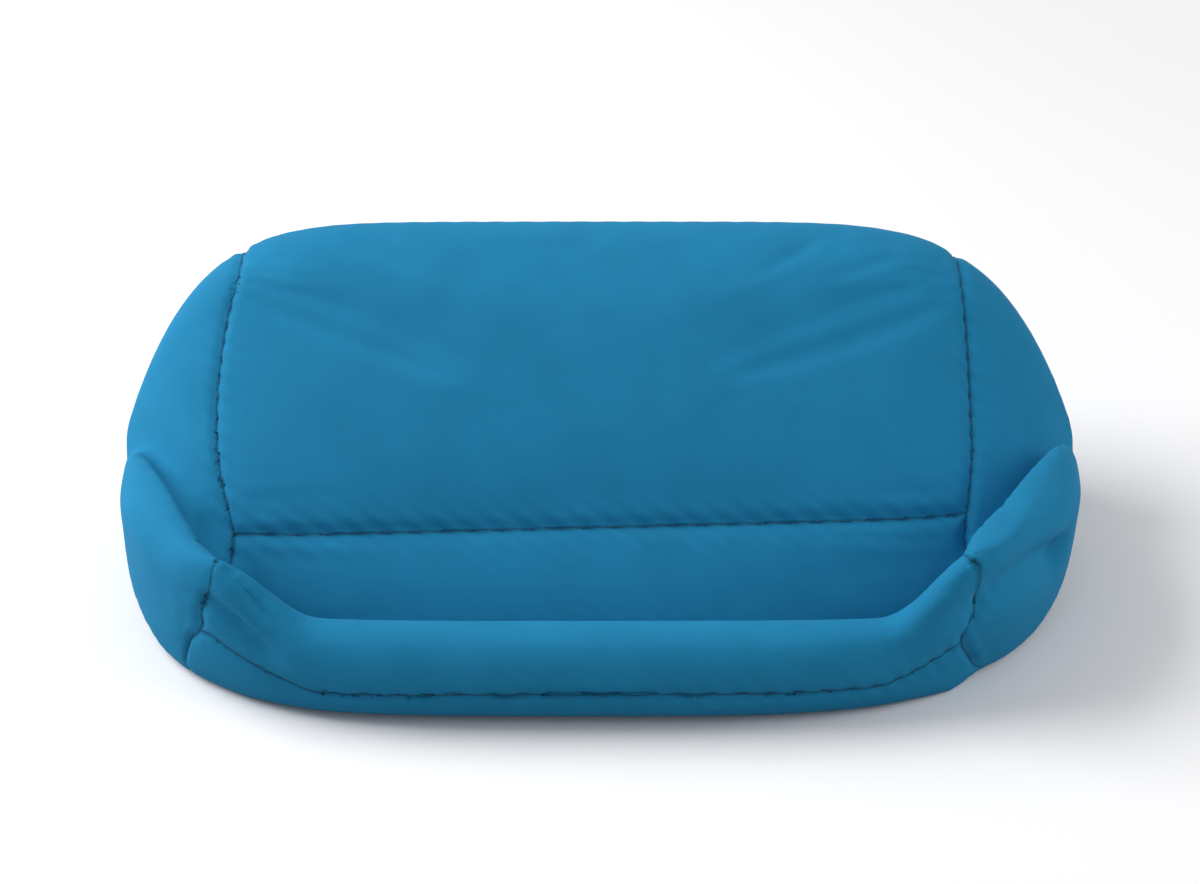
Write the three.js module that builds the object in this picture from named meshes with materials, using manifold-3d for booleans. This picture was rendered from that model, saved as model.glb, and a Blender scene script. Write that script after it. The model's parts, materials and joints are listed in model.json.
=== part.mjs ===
// Beanbag tablet stand: a zipped stretch-fabric cover over three bags of beads, with a trough across
// the front that holds the lower edge of a tablet while its back leans on the reclined backrest.
// Millimetres. +Z is up, +Y is to the rear, +X is to the user's right. The origin lies on the surface
// that the stand rests on, under the middle of its bounding box.
import * as THREE from "three";
import { mergeVertices } from "three/addons/utils/BufferGeometryUtils.js";
import Module from "manifold-3d";

const wasm = await Module();
wasm.setup();

// Overall sizes of the stuffed cover
const width = 372; // across the two bulging side panels
const lowerWidth = 366; // across the lower cushion, which is a little narrower than the backrest
const depth = 210; // from the nose of the front roll to the rear face
const height = 115; // to the crest of the backrest
const panelWidth = 278; // between the two side seams

// Lower cushion: front roll, trough and base
const lipHeight = 36; // top of the front roll in the middle
const lipDepth = 33; // of the front roll, front to rear
const lipInnerAngle = 30; // where the roll's round starts inside the trough, degrees above level
const armInnerAngle = 85; // where it starts on the arms, which are flat on top
const armHeight = 57; // top of the two arms, the ends of the lower cushion
const armRunOut = 18; // length over which each end of the trough fills up to the arm
const troughFloor = 5; // height of the tablet's lower edge
const troughFloorWidth = 13; // room for the edge of a tablet in a thin case
const troughLength = 246; // a tablet 241 long fits lengthways
const lipLength = 200; // of the level part of the front roll, before it rises to the arms
const lipRunOut = 34; // length over which each end of the roll rises to the arm
const creaseFloor = 30; // height of the crease between arm and backrest where it leaves the trough
const creaseWidth = 4; // of the floor of that crease
const creaseSlant = 2; // how far the crease runs back for each millimetre outwards
const creaseClimb = 0.35; // how far its floor rises for each millimetre outwards
const edgeLean = 2; // how far the arm's rear edge stands ahead of the crease
const edgeDrop = 2; // of that edge below the top of the arm
const creaseHeight = 39; // height of the seat seam, where the backrest starts
const rearFootRadius = 16; // rounding between the base and the rear face
const seatSetBack = 2; // how far the seat ramp starts behind the foot of the backrest's face

// Backrest
const recline = 45; // lean of the backrest's face, degrees from upright
const crestRadius = 38; // rounding over the top
const faceCrown = 5; // how far the face swells between its foot and the crest
const footHeight = 14; // of the foot of the face, down in the trough
const footRadius = 6; // rounding under the foot of the face
const crestSeamAngle = 38; // seam behind the crest, degrees from upright
const backrestEndY = 40; // where the backrest's ends run out, measured from mid depth
const lowerEndY = 17; // where the lower cushion's ends run out, measured from mid depth
const pressDepth = 6; // of the hollow that each arm presses into the backrest
const pressWidth = 12; // of that hollow on each side of the arm's edge

// How squarely each outline is filled: 2 is an ellipse, larger is squarer
const frontSquareness = 4.4; // plan of the arms and the front roll, at the nose
const rearSquareness = 8; // the same plan from the trough to the rear
const lowFrontSquareness = 3.1; // plan of the underside, at the nose
const lowRearSquareness = 4.5; // the same plan under the arms
const backrestSquareness = 6.8;
const footSquareness = 9; // foot of the backrest
const topSquareness = 6; // tops of the arms, over to the sides
const endSquareness = 3; // underside of the arms, up to the sides

// Cover
const fabric = 1.2; // thickness of the stretch fabric with its backing
const frontSeamHeight = 13; // where the base panel, turned up in front, meets the front roll panel
const frontSeamRise = 22; // of that seam from the middle to the side seams
const seamGap = 0.3; // between two panels at a seam
const fillGap = 0.3; // between the cover and the bead bags
const bagGap = 2; // between the front bag and the base bag under the trough
const tipStop = 6; // how far the inside stops short of the ends, in fabric thicknesses

// Zip in the rear seam
const zipHeight = 26; // of its centre line above the base
const zipLength = 190; // of the row of teeth
const toothPitch = 4.75;
const toothReach = 1.3; // of a tooth past the centre line
const spineWidth = 1.3; // of the cord that carries the teeth
const toothThickness = 1.6;
const tapeWidth = 6; // of the tape that shows on each side of the teeth
const tapeThickness = 0.8;
const tapeTail = 8; // of each tape past the last tooth
const zipPocketDepth = 6; // hollow in the base bag behind the zip
const stopLength = 3;
const sliderLength = 9;
const sliderWall = 1.2;
const pinRadius = 0.5;
const barrelWall = 0.5; // of the pull's barrel around the pin
const pullLength = 21;
const pullWidth = 7;
const pullThickness = 1;
const runningGap = 0.3; // around everything that slides or turns on the zip

// Fineness of the curved surfaces
const stationsAcross = 26;
const arcSteps = 6;
const edgeSteps = 40;
const smallestFacet = 0.02;
const smallestBagFacet = 0.12; // kept under the gap between the cover and the bags

const smooth = (t) => t * t * (3 - 2 * t);
const clamp01 = (t) => Math.min(1, Math.max(0, t));
const mix = (a, b, t) => a + (b - a) * t;
const roundOff = (t, squareness) => Math.sqrt(Math.max(0, 1 - Math.abs(t) ** squareness));

// Places that follow from the sizes above
const seamX = panelWidth / 2;
const endX = width / 2;
const lowerEndX = lowerWidth / 2;
const barrelRadius = pinRadius + runningGap + barrelWall;
const teethProud = toothThickness + seamGap;
const plateFace = teethProud + runningGap + sliderWall;
const pinProud = plateFace + runningGap + barrelRadius;
const zipProud = pinProud + barrelRadius;
const front = -(depth + zipProud) / 2;
const rear = front + depth;
const middleY = (front + rear) / 2;
const toRadians = Math.PI / 180;
const sinRecline = Math.sin(recline * toRadians);
const cosRecline = Math.cos(recline * toRadians);
const crest = new THREE.Vector2(rear - crestRadius, height - crestRadius);
const lowerCore = new THREE.Vector2(middleY + lowerEndY, armHeight / 2);
const far = 2 * (width + depth + height);

// Point of the backrest's face plane at a height: the plane is tangent to the round of the crest.
function facePoint(z) {
  const y = crest.x - (crestRadius - (z - crest.y) * sinRecline) / cosRecline;
  return new THREE.Vector2(y, z);
}
const lipCentreY = front + lipDepth / 2;
const seatSeam = facePoint(creaseHeight);
const troughRear = facePoint(troughFloor).x;
const troughFront = troughRear - troughFloorWidth;
const troughSeamY = mix(troughFront, troughRear, 0.8);

// Points along curves in the YZ plane, each curve with its own count, without repeated ends.
function trace(curves) {
  return curves.flatMap(({ curve, count }) => curve.getPoints(count).slice(0, -1));
}
const line = (a, b, count = 1) => ({ curve: new THREE.LineCurve(a, b), count });

// An arc of a circle, or of an ellipse where radiusY differs from the upright radius.
function arc(centre, radius, fromDegrees, toDegrees, count, radiusY = radius) {
  const from = fromDegrees * toRadians;
  const to = toDegrees * toRadians;
  const curve = new THREE.EllipseCurve(centre.x, centre.y, radiusY, radius, from, to, to < from);
  return { curve, count };
}
const at = (y, z) => new THREE.Vector2(y, z);

// Height of the front roll at x, which rises from the lip to the arms.
function rollHeight(x) {
  return mix(lipHeight, armHeight, smooth(clamp01((Math.abs(x) - lipLength / 2) / lipRunOut)));
}

// Front of the trough at x and, outside the side seams, of the crease that runs back from it.
function creaseFront(x) {
  return troughFront + Math.max(0, Math.abs(x) - seamX) * creaseSlant;
}

// Rear edge of the arm at x.
const armEdge = (x) => at(creaseFront(x) - edgeLean, rollHeight(x) - edgeDrop);

// Section of the lower cushion at x, before its ends are drawn in. It runs along the base to the rear,
// up the rear face, forward over the seat and the trough, and round the front roll. Past the ends of the
// trough the roll widens into an arm, whose rear edge runs back along the crease under the backrest.
function lowerSection(x) {
  const arm = armShare(x);
  const lip = rollHeight(x) / 2;
  const climb = Math.max(0, Math.abs(x) - seamX) * creaseClimb;
  const floor = mix(troughFloor, creaseFloor, arm) + climb;
  const nose = at(lipCentreY, lip);
  const rearRadius = Math.min(rearFootRadius, creaseHeight / 2.5);
  const rearRound = at(rear - rearRadius, rearRadius);
  const shoulder = at(rear - rearRadius, creaseHeight - rearRadius);
  const floorFront = at(creaseFront(x), floor);
  const floorRear = at(floorFront.x + mix(troughFloorWidth, creaseWidth, arm), floor);
  const seatY = Math.max(seatSeam.x + seatSetBack, floorRear.x + creaseWidth);
  const seatTop = at(seatY, mix(creaseHeight, Math.max(creaseHeight, floor), arm));
  const roll = arc(nose, lip, mix(lipInnerAngle, armInnerAngle, arm), 270, 2 * arcSteps, lipDepth / 2);
  const wallTop = roll.curve.getPoint(0);
  const wallMiddle = floorFront.clone().lerp(wallTop, 0.4).lerp(armEdge(x), arm);
  return trace([
    line(at(nose.x, 0), at(rearRound.x, 0), 6),
    arc(rearRound, rearRadius, -90, 0, 3),
    arc(shoulder, rearRadius, 0, 90, 3),
    line(at(shoulder.x, creaseHeight), seatTop, 3),
    line(seatTop, floorRear, 3),
    line(floorRear, floorFront, 2),
    line(floorFront, wallMiddle, 1),
    line(wallMiddle, wallTop, 2),
    roll,
  ]);
}

// Section of the backrest at mid width: up the face, over the crest, down the rear and back underneath.
function backrestSection() {
  const inward = at(cosRecline, -sinRecline);
  const foot = facePoint(footHeight);
  const underFoot = foot.clone().addScaledVector(inward, footRadius);
  const faceTop = crest.clone().addScaledVector(inward, -crestRadius);
  const swell = foot.clone().lerp(faceTop, 0.5).addScaledVector(inward, -2 * faceCrown);
  const bottom = underFoot.y - footRadius;
  return trace([
    { curve: new THREE.QuadraticBezierCurve(foot, swell, faceTop), count: 2 * arcSteps },
    arc(crest, crestRadius, 180 - recline, 0, arcSteps),
    line(at(rear, crest.y), at(rear, creaseHeight), 2),
    line(at(rear, creaseHeight), at(rear - rearFootRadius, bottom), 1),
    line(at(rear - rearFootRadius, bottom), at(underFoot.x, bottom), 3),
    arc(underFoot, footRadius, 270, 180 - recline, 3),
  ]).reverse();
}

// How far the section at x has turned from the trough, at 0, into an arm, at 1.
function armShare(x) {
  return smooth(clamp01((Math.abs(x) - troughLength / 2) / armRunOut));
}

// Place of y at x when the plan of the lower cushion is drawn in towards its two sides. The nose of the
// front roll is drawn in soonest, so that the trough behind it stays straight for a tablet's length. The
// underside is drawn in more than the top, but not in the trough.
function drawnInY(x, y, z = armHeight) {
  const behindNose = clamp01((y - front) / (troughFront - front));
  const upper = mix(frontSquareness, rearSquareness, behindNose);
  const lower = mix(lowFrontSquareness, lowRearSquareness, behindNose);
  const low = (1 - behindNose * (1 - armShare(x))) * (1 - smooth(clamp01(z / armHeight)));
  const squareness = mix(upper, lower, low);
  return lowerCore.x + (y - lowerCore.x) * roundOff(x / lowerEndX, squareness);
}

// A point of the lower cushion's section drawn in towards its core as x nears the side.
function drawnInPoint(x, p) {
  const pastSeam = clamp01((Math.abs(x) - seamX) / (lowerEndX - seamX));
  const keep = roundOff(pastSeam, p.y > lowerCore.y ? topSquareness : endSquareness);
  return at(drawnInY(x, p.x, p.y), mix(lowerCore.y, p.y, keep));
}
const drawnInLower = (x) => lowerSection(x).map((p) => drawnInPoint(x, p));

// Draws the backrest's section in towards the point where its ends run out, its foot a little later.
function drawnInBackrest(x) {
  const core = at(middleY + backrestEndY, creaseHeight);
  return backrestSection().map((p) => {
    const below = smooth(clamp01((crest.y - p.y) / (crest.y - footHeight)));
    const ahead = smooth(clamp01((crest.x - p.x) / crestRadius));
    const squareness = mix(backrestSquareness, footSquareness, below * ahead);
    const keep = 1 - Math.abs(x / endX) ** squareness;
    return p.clone().sub(core).multiplyScalar(keep).add(core);
  });
}

// Closed surface through the sections at stations across the stand, with a point at each end.
function loft(sectionAt, tipX) {
  const angles = Array.from({ length: stationsAcross - 1 }, (_, i) => (i + 1) / stationsAcross - 0.5);
  const rings = angles.map((turn) => {
    const x = tipX * Math.sin(turn * Math.PI);
    return sectionAt(x).map((p) => [x, p.x, p.y]);
  });
  const ringSize = rings[0].length;
  const tips = [-tipX, tipX].map((x) => [x, sectionAt(x)[0].x, sectionAt(x)[0].y]);
  const positions = [...rings.flat(), ...tips].flat();
  const firstTip = rings.length * ringSize;
  const faces = [];
  for (let i = 0; i < ringSize; i++) {
    const next = (i + 1) % ringSize;
    for (let r = 0; r < rings.length - 1; r++) {
      const a = r * ringSize;
      const b = a + ringSize;
      faces.push(a + i, a + next, b + next, a + i, b + next, b + i);
    }
    const last = (rings.length - 1) * ringSize;
    faces.push(firstTip, next, i);
    faces.push(firstTip + 1, last + i, last + next);
  }
  const geometry = new THREE.BufferGeometry();
  geometry.setAttribute("position", new THREE.Float32BufferAttribute(positions, 3));
  geometry.setIndex(faces);
  geometry.computeVertexNormals();
  return geometry;
}

// The backrest's surface with a hollow along each arm's rear edge, which presses on it less and less
// towards the sides.
function pressedByArms(geometry) {
  const edges = [];
  for (let i = 0; i <= edgeSteps; i++) {
    const x = mix(seamX - pressWidth, lowerEndX, i / edgeSteps);
    const edge = drawnInPoint(x, armEdge(x));
    edges.push(new THREE.Vector3(x, edge.x, edge.y), new THREE.Vector3(-x, edge.x, edge.y));
  }
  const position = geometry.getAttribute("position");
  const point = new THREE.Vector3();
  for (let i = 0; i < position.count; i++) {
    point.fromBufferAttribute(position, i);
    const gaps = edges.map((edge) => edge.distanceTo(point));
    const gap = Math.min(...gaps);
    const away = point.clone().sub(edges[gaps.indexOf(gap)]).normalize();
    const fade = 1 - Math.abs(point.x / endX) ** footSquareness;
    point.addScaledVector(away, pressDepth * fade * Math.exp(-((gap / pressWidth) ** 2)));
    position.setXYZ(i, point.x, point.y, point.z);
  }
  geometry.computeVertexNormals();
  return geometry;
}

// The surface moved inwards along its normals.
function inset(geometry, by) {
  const moved = geometry.clone();
  const position = moved.getAttribute("position");
  const normal = geometry.getAttribute("normal");
  const point = new THREE.Vector3();
  const inward = new THREE.Vector3();
  for (let i = 0; i < position.count; i++) {
    inward.fromBufferAttribute(normal, i).multiplyScalar(-by);
    point.fromBufferAttribute(position, i).add(inward);
    position.setXYZ(i, point.x, point.y, point.z);
  }
  return moved;
}

// A closed geometry as a solid that can be joined and cut.
function solidOf(geometry) {
  const bare = new THREE.BufferGeometry();
  bare.setAttribute("position", geometry.getAttribute("position").clone());
  if (geometry.index) bare.setIndex(geometry.index.clone());
  const merged = mergeVertices(bare, 1e-4);
  const vertProperties = new Float32Array(merged.getAttribute("position").array);
  const triVerts = new Uint32Array(merged.index.array);
  return new wasm.Manifold(new wasm.Mesh({ numProp: 3, vertProperties, triVerts }));
}

// A solid as a geometry, with the smallest facets that the cuts leave merged away.
function geometryOf(solid, smallest) {
  const { vertProperties, triVerts } = solid.simplify(smallest).getMesh();
  const geometry = new THREE.BufferGeometry();
  geometry.setAttribute("position", new THREE.BufferAttribute(vertProperties, 3));
  geometry.setIndex(new THREE.BufferAttribute(triVerts, 1));
  geometry.computeVertexNormals();
  return geometry;
}

function block(x0, x1, y0, y1, z0, z1) {
  const geometry = new THREE.BoxGeometry(x1 - x0, y1 - y0, z1 - z0);
  geometry.translate((x0 + x1) / 2, (y0 + y1) / 2, (z0 + z1) / 2);
  return solidOf(geometry);
}

// An outline of [y, z] points carried across the stand to x = reach on both sides. It is drawn in as it
// goes, like the plan of the arms and the front roll, unless placeY says otherwise.
const topPlan = (x, y) => drawnInY(x, y);
function sweep(outline, reach, placeY = topPlan) {
  const shape = new THREE.Shape(outline.map(([y, z]) => at(y, z)));
  const extent = { depth: 2 * reach, steps: stationsAcross, bevelEnabled: false };
  const geometry = new THREE.ExtrudeGeometry(shape, extent);
  const across = new THREE.Matrix4().makeBasis(
    new THREE.Vector3(0, 1, 0),
    new THREE.Vector3(0, 0, 1),
    new THREE.Vector3(1, 0, 0),
  );
  geometry.applyMatrix4(across).translate(-reach, 0, 0);
  const position = geometry.getAttribute("position");
  for (let i = 0; i < position.count; i++) {
    position.setY(i, placeY(position.getX(i), position.getY(i), position.getZ(i)));
  }
  return solidOf(geometry);
}

// An outline of [x, z] points given thickness from y0 to y1.
function plate(outline, y0, y1) {
  const shape = new THREE.Shape(outline.map(([x, z]) => at(x, z)));
  const geometry = new THREE.ExtrudeGeometry(shape, { depth: y1 - y0, bevelEnabled: false });
  geometry.rotateX(Math.PI / 2).translate(0, y1, 0);
  return solidOf(geometry);
}

// The two stuffed forms. The cover is the skin of both together, and the bead bags fill the room inside.
const lowerForm = loft(drawnInLower, lowerEndX);
const backrestForm = pressedByArms(loft(drawnInBackrest, endX));

// A form moved inwards stops short of its two tips, where there is no room left inside.
function insetSolid(form, tipX, by) {
  const reach = tipX - tipStop * by;
  return solidOf(inset(form, by)).intersect(block(-reach, reach, -far, far, -far, far));
}
const lowerInset = (by) => insetSolid(lowerForm, lowerEndX, by);
const stuffed = (by) => lowerInset(by).add(insetSolid(backrestForm, endX, by));
const cover = stuffed(0).subtract(stuffed(fabric));
const halfSeam = seamGap / 2;
const zipWindowHalf = tapeWidth + runningGap + spineWidth;
const zipWindow = block(
  -zipLength / 2 - tapeTail - seamGap,
  zipLength / 2 + tapeTail + seamGap,
  crest.x,
  far,
  zipHeight - zipWindowHalf - seamGap,
  zipHeight + zipWindowHalf + seamGap,
);

// One panel of the middle strip: the cover inside an outline of [y, z] points between the side seams.
const betweenSeams = seamX - halfSeam;
const underTrough = troughFloor / 2;
const aheadOfFace = mix(troughRear, seatSeam.x, 0.5);
const middlePanel = (outline, placeY) => cover.intersect(sweep(outline, betweenSeams, placeY));
const straight = (x, y) => y;

// The front of the lower cushion up to the front seam, which climbs towards the side seams.
function belowFrontSeam(above) {
  const outline = [[betweenSeams, -far], [-betweenSeams, -far]];
  for (let i = 0; i <= stationsAcross; i++) {
    const x = mix(-betweenSeams, betweenSeams, i / stationsAcross);
    const climb = clamp01((Math.abs(x) - lipLength / 2) / (seamX - lipLength / 2)) ** 1.5;
    outline.push([x, frontSeamHeight + frontSeamRise * climb + above]);
  }
  const insideLip = mix(lipCentreY, troughFront, 0.7);
  const frontHalf = [[-far, -far], [insideLip, -far], [insideLip, far], [-far, far]];
  const behindArms = (x, y) => drawnInY(x, y) + armShare(x) * creaseWidth;
  return plate(outline, -far, far).intersect(sweep(frontHalf, betweenSeams, behindArms));
}

const crestSeam = at(Math.sin(crestSeamAngle * toRadians), Math.cos(crestSeamAngle * toRadians));
const crestSeamFar = crest.clone().addScaledVector(crestSeam, far);
const acrossCrestSeam = at(crestSeam.y, -crestSeam.x).multiplyScalar(halfSeam);
const besideCrestSeam = (p, side) => p.clone().addScaledVector(acrossCrestSeam, side).toArray();

const coverPanels = {
  base_panel: middlePanel([
    [-far, -far],
    [far, -far],
    [far, zipHeight - halfSeam],
    [crest.x, zipHeight - halfSeam],
    [crest.x, underTrough],
    [-far, underTrough],
  ])
    .add(cover.intersect(belowFrontSeam(-halfSeam)))
    .subtract(zipWindow),
  front_roll_panel: middlePanel([
    [-far, underTrough],
    [troughSeamY - halfSeam, underTrough],
    [troughSeamY - halfSeam, far],
    [-far, far],
  ]).subtract(belowFrontSeam(halfSeam)),
  seat_panel: middlePanel([
    [troughSeamY + halfSeam, underTrough],
    [crest.x, underTrough],
    [crest.x, creaseHeight - halfSeam],
    [troughSeamY + halfSeam, creaseHeight - halfSeam],
  ]),
  backrest_panel: middlePanel(
    [
      [aheadOfFace, creaseHeight + halfSeam],
      [crest.x, creaseHeight + halfSeam],
      besideCrestSeam(crest, -1),
      besideCrestSeam(crestSeamFar, -1),
      [aheadOfFace, far],
    ],
    straight,
  ),
  rear_panel: middlePanel(
    [
      [crest.x, zipHeight + halfSeam],
      [far, zipHeight + halfSeam],
      besideCrestSeam(crestSeamFar, 1),
      besideCrestSeam(crest, 1),
    ],
    straight,
  ).subtract(zipWindow),
  left_side_panel: cover.intersect(block(-far, -seamX - halfSeam, -far, far, -far, far)),
  right_side_panel: cover.intersect(block(seamX + halfSeam, far, -far, far, -far, far)),
};

// Bead bags: the fill parted under the trough and at the height of the seat seam. The arms belong to the
// lower bags.
const lowerFill = lowerInset(fabric + fillGap);
const fill = stuffed(fabric + fillGap);
const zipPocket = zipWindow.intersect(block(-far, far, rear - zipPocketDepth, far, -far, far));
const bagReach = lowerEndX - bagGap;
const upTheArm = [-far, 0, armHeight / 4, armHeight / 2, armHeight * 0.75, armHeight, far];
function frontOfTrough(y) {
  return sweep([[-far, -far], ...upTheArm.map((z) => [y, z]), [-far, far]], bagReach, drawnInY);
}
const belowSeatSeam = block(-far, far, -far, far, -far, creaseHeight - halfSeam);
const aboveSeatSeam = block(-far, far, -far, far, creaseHeight + halfSeam, far);
const beadBags = {
  front_bead_bag: lowerFill.intersect(frontOfTrough(troughSeamY - bagGap / 2)),
  base_bead_bag: fill
    .intersect(belowSeatSeam)
    .add(lowerFill)
    .subtract(frontOfTrough(troughSeamY + bagGap / 2))
    .subtract(zipPocket),
  backrest_bead_bag: insetSolid(backrestForm, endX, fabric + fillGap)
    .intersect(aboveSeatSeam)
    .subtract(lowerInset(fabric)),
};

// One side of the zip, above the centre line for side 1 and below it for side -1.
function zipTape(side) {
  const inner = zipHeight + side * (spineWidth + runningGap);
  const outer = zipHeight + side * zipWindowHalf;
  const reach = zipLength / 2 + tapeTail;
  const [z0, z1] = [inner, outer].sort((a, b) => a - b);
  return block(-reach, reach, rear - seamGap - tapeThickness, rear - seamGap, z0, z1);
}

// A comb of teeth that stands between the teeth of the other side, half a pitch along.
function zipTeeth(side) {
  const spineInner = toothReach + runningGap;
  const spineOuter = spineInner + spineWidth;
  const count = Math.floor(zipLength / toothPitch) - 1;
  const toothHalf = (toothPitch / 2 - runningGap) / 2;
  const firstTooth = -((count - 1) / 2) * toothPitch + (side * toothPitch) / 4;
  const outline = [[-zipLength / 2, spineOuter], [-zipLength / 2, spineInner]];
  for (let i = 0; i < count; i++) {
    const x = firstTooth + i * toothPitch;
    outline.push([x - toothHalf, spineInner], [x - toothHalf, -toothReach]);
    outline.push([x + toothHalf, -toothReach], [x + toothHalf, spineInner]);
  }
  outline.push([zipLength / 2, spineInner], [zipLength / 2, spineOuter]);
  const placed = outline.map(([x, z]) => [x, zipHeight + side * z]);
  return plate(placed, rear, rear + toothThickness);
}

function zipStop(side) {
  const inner = side * (zipLength / 2 + runningGap);
  const [x0, x1] = [inner, inner + side * stopLength].sort((a, b) => a - b);
  const reach = spineWidth * 2 + toothReach;
  return block(x0, x1, rear, rear + toothThickness, zipHeight - reach, zipHeight + reach);
}

// Slider: a plate over the teeth with a flange down each side and two lugs that carry the pull's pin.
const sliderX = (zipLength - sliderLength) / 2 - stopLength;
const pinY = rear + pinProud;
const lugHalf = pullWidth / 4;
function zipSlider() {
  const flangeInner = toothReach + spineWidth + 2 * runningGap;
  const half = flangeInner + sliderWall;
  const x0 = sliderX - sliderLength / 2;
  const x1 = sliderX + sliderLength / 2;
  const plateBack = rear + plateFace - sliderWall;
  let slider = block(x0, x1, plateBack, rear + plateFace, zipHeight - half, zipHeight + half);
  for (const side of [-1, 1]) {
    const flange = [half, flangeInner].map((z) => zipHeight + side * z).sort((a, b) => a - b);
    slider = slider.add(block(x0, x1, rear + seamGap, rear + plateFace, ...flange));
    const lug = [lugHalf + runningGap, lugHalf + runningGap + sliderWall];
    const lugZ = lug.map((z) => zipHeight + side * z).sort((a, b) => a - b);
    const lugX = [sliderX - barrelRadius, sliderX + barrelRadius];
    slider = slider.add(block(...lugX, plateBack, pinY + barrelRadius, ...lugZ));
  }
  return slider.add(upright(pinRadius, lugHalf + runningGap + sliderWall / 2));
}

// An upright round bar on the pull's axis.
function upright(radius, halfLength) {
  const geometry = new THREE.CylinderGeometry(radius, radius, 2 * halfLength, 16);
  geometry.rotateX(Math.PI / 2).translate(sliderX, pinY, zipHeight);
  return solidOf(geometry);
}

// Pull: a barrel on the pin and a tab that lies along the zip, widening past the lugs.
function zipPull() {
  const neck = lugHalf;
  const shoulderX = sliderX - barrelRadius - sliderWall - runningGap;
  const tipX = sliderX - pullLength;
  const half = pullWidth / 2;
  const outline = [
    [sliderX, -neck],
    [sliderX, neck],
    [shoulderX, neck],
    [shoulderX - half, half],
    [tipX + half / 2, half],
    [tipX, half / 2],
    [tipX, -half / 2],
    [tipX + half / 2, -half],
    [shoulderX - half, -half],
    [shoulderX, -neck],
  ].map(([x, z]) => [x, zipHeight + z]);
  const tab = plate(outline, pinY - pullThickness / 2, pinY + pullThickness / 2);
  const bore = upright(pinRadius + runningGap, pullWidth);
  return tab.add(upright(barrelRadius, neck)).subtract(bore);
}

const zipPieces = {
  zip_tape_upper: zipTape(1),
  zip_tape_lower: zipTape(-1),
  zip_teeth_upper: zipTeeth(1),
  zip_teeth_lower: zipTeeth(-1),
  zip_closed_stop: zipStop(1),
  zip_open_stop: zipStop(-1),
  zip_slider: zipSlider(),
  zip_pull: zipPull(),
};

// Finishes
const finishes = {
  fabric: new THREE.MeshStandardMaterial({ color: 0x2484b8, roughness: 0.85, metalness: 0 }),
  beadBag: new THREE.MeshStandardMaterial({ color: 0xe9e9e4, roughness: 0.9, metalness: 0 }),
  tape: new THREE.MeshStandardMaterial({ color: 0x1d6e9c, roughness: 0.9, metalness: 0 }),
  teeth: new THREE.MeshStandardMaterial({ color: 0x1a5f88, roughness: 0.45, metalness: 0 }),
  metal: new THREE.MeshStandardMaterial({ color: 0x9fa3a6, roughness: 0.3, metalness: 1 }),
};
const zipFinishes = {
  zip_tape_upper: finishes.tape,
  zip_tape_lower: finishes.tape,
  zip_teeth_upper: finishes.teeth,
  zip_teeth_lower: finishes.teeth,
};

// One group of named meshes, each with a finish of its own.
function groupOf(pieces, finishOf, smallest = smallestFacet) {
  const group = new THREE.Group();
  for (const [name, solid] of Object.entries(pieces)) {
    const mesh = new THREE.Mesh(geometryOf(solid, smallest), finishOf(name).clone());
    mesh.name = name;
    group.add(mesh);
  }
  return group;
}

const stand = new THREE.Group();
stand.add(groupOf(coverPanels, () => finishes.fabric));
stand.add(groupOf(beadBags, () => finishes.beadBag, smallestBagFacet));
stand.add(groupOf(zipPieces, (name) => zipFinishes[name] ?? finishes.metal));

export default stand;
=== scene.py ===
"""Looks of a beanbag tablet stand: sewn stretch-knit cover, stitching, bead bags, zip and stage.

Laid out as a Blender add-on and run as a script. Metres, +Z up, +Y to the rear, +X to the user's right.
"""

import json

import bpy
import numpy as np
from bpy.props import FloatProperty, FloatVectorProperty, PointerProperty
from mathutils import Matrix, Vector
from mathutils.bvhtree import BVHTree

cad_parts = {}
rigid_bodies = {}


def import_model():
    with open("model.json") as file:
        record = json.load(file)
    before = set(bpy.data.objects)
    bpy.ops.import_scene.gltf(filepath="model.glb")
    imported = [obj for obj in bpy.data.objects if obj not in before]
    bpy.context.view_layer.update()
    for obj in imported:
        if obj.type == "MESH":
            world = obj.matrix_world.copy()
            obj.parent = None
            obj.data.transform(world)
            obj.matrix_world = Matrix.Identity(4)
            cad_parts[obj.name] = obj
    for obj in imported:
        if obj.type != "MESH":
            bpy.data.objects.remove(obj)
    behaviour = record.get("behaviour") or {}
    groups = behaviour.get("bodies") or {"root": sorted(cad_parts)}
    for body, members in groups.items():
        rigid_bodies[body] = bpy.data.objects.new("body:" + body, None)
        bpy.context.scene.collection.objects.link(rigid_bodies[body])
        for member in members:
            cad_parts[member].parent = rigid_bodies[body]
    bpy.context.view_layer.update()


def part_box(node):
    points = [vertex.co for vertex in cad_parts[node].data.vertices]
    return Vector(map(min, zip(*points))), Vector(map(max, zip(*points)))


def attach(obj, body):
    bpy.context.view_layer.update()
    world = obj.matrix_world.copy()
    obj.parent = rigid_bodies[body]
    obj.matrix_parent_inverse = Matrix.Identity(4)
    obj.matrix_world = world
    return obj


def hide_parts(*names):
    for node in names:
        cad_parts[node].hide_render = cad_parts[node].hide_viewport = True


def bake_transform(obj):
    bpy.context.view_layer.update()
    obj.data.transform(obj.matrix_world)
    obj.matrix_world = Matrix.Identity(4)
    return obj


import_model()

bl_info = {
    "name": "Beanbag Tablet Stand",
    "version": (1, 0, 0),
    "blender": (4, 5, 0),
    "location": "View3D > Sidebar > Tablet Stand",
    "description": "Dresses the packed tablet stand with its sewn cover, zip and studio stage",
    "category": "Add Mesh",
}

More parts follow.
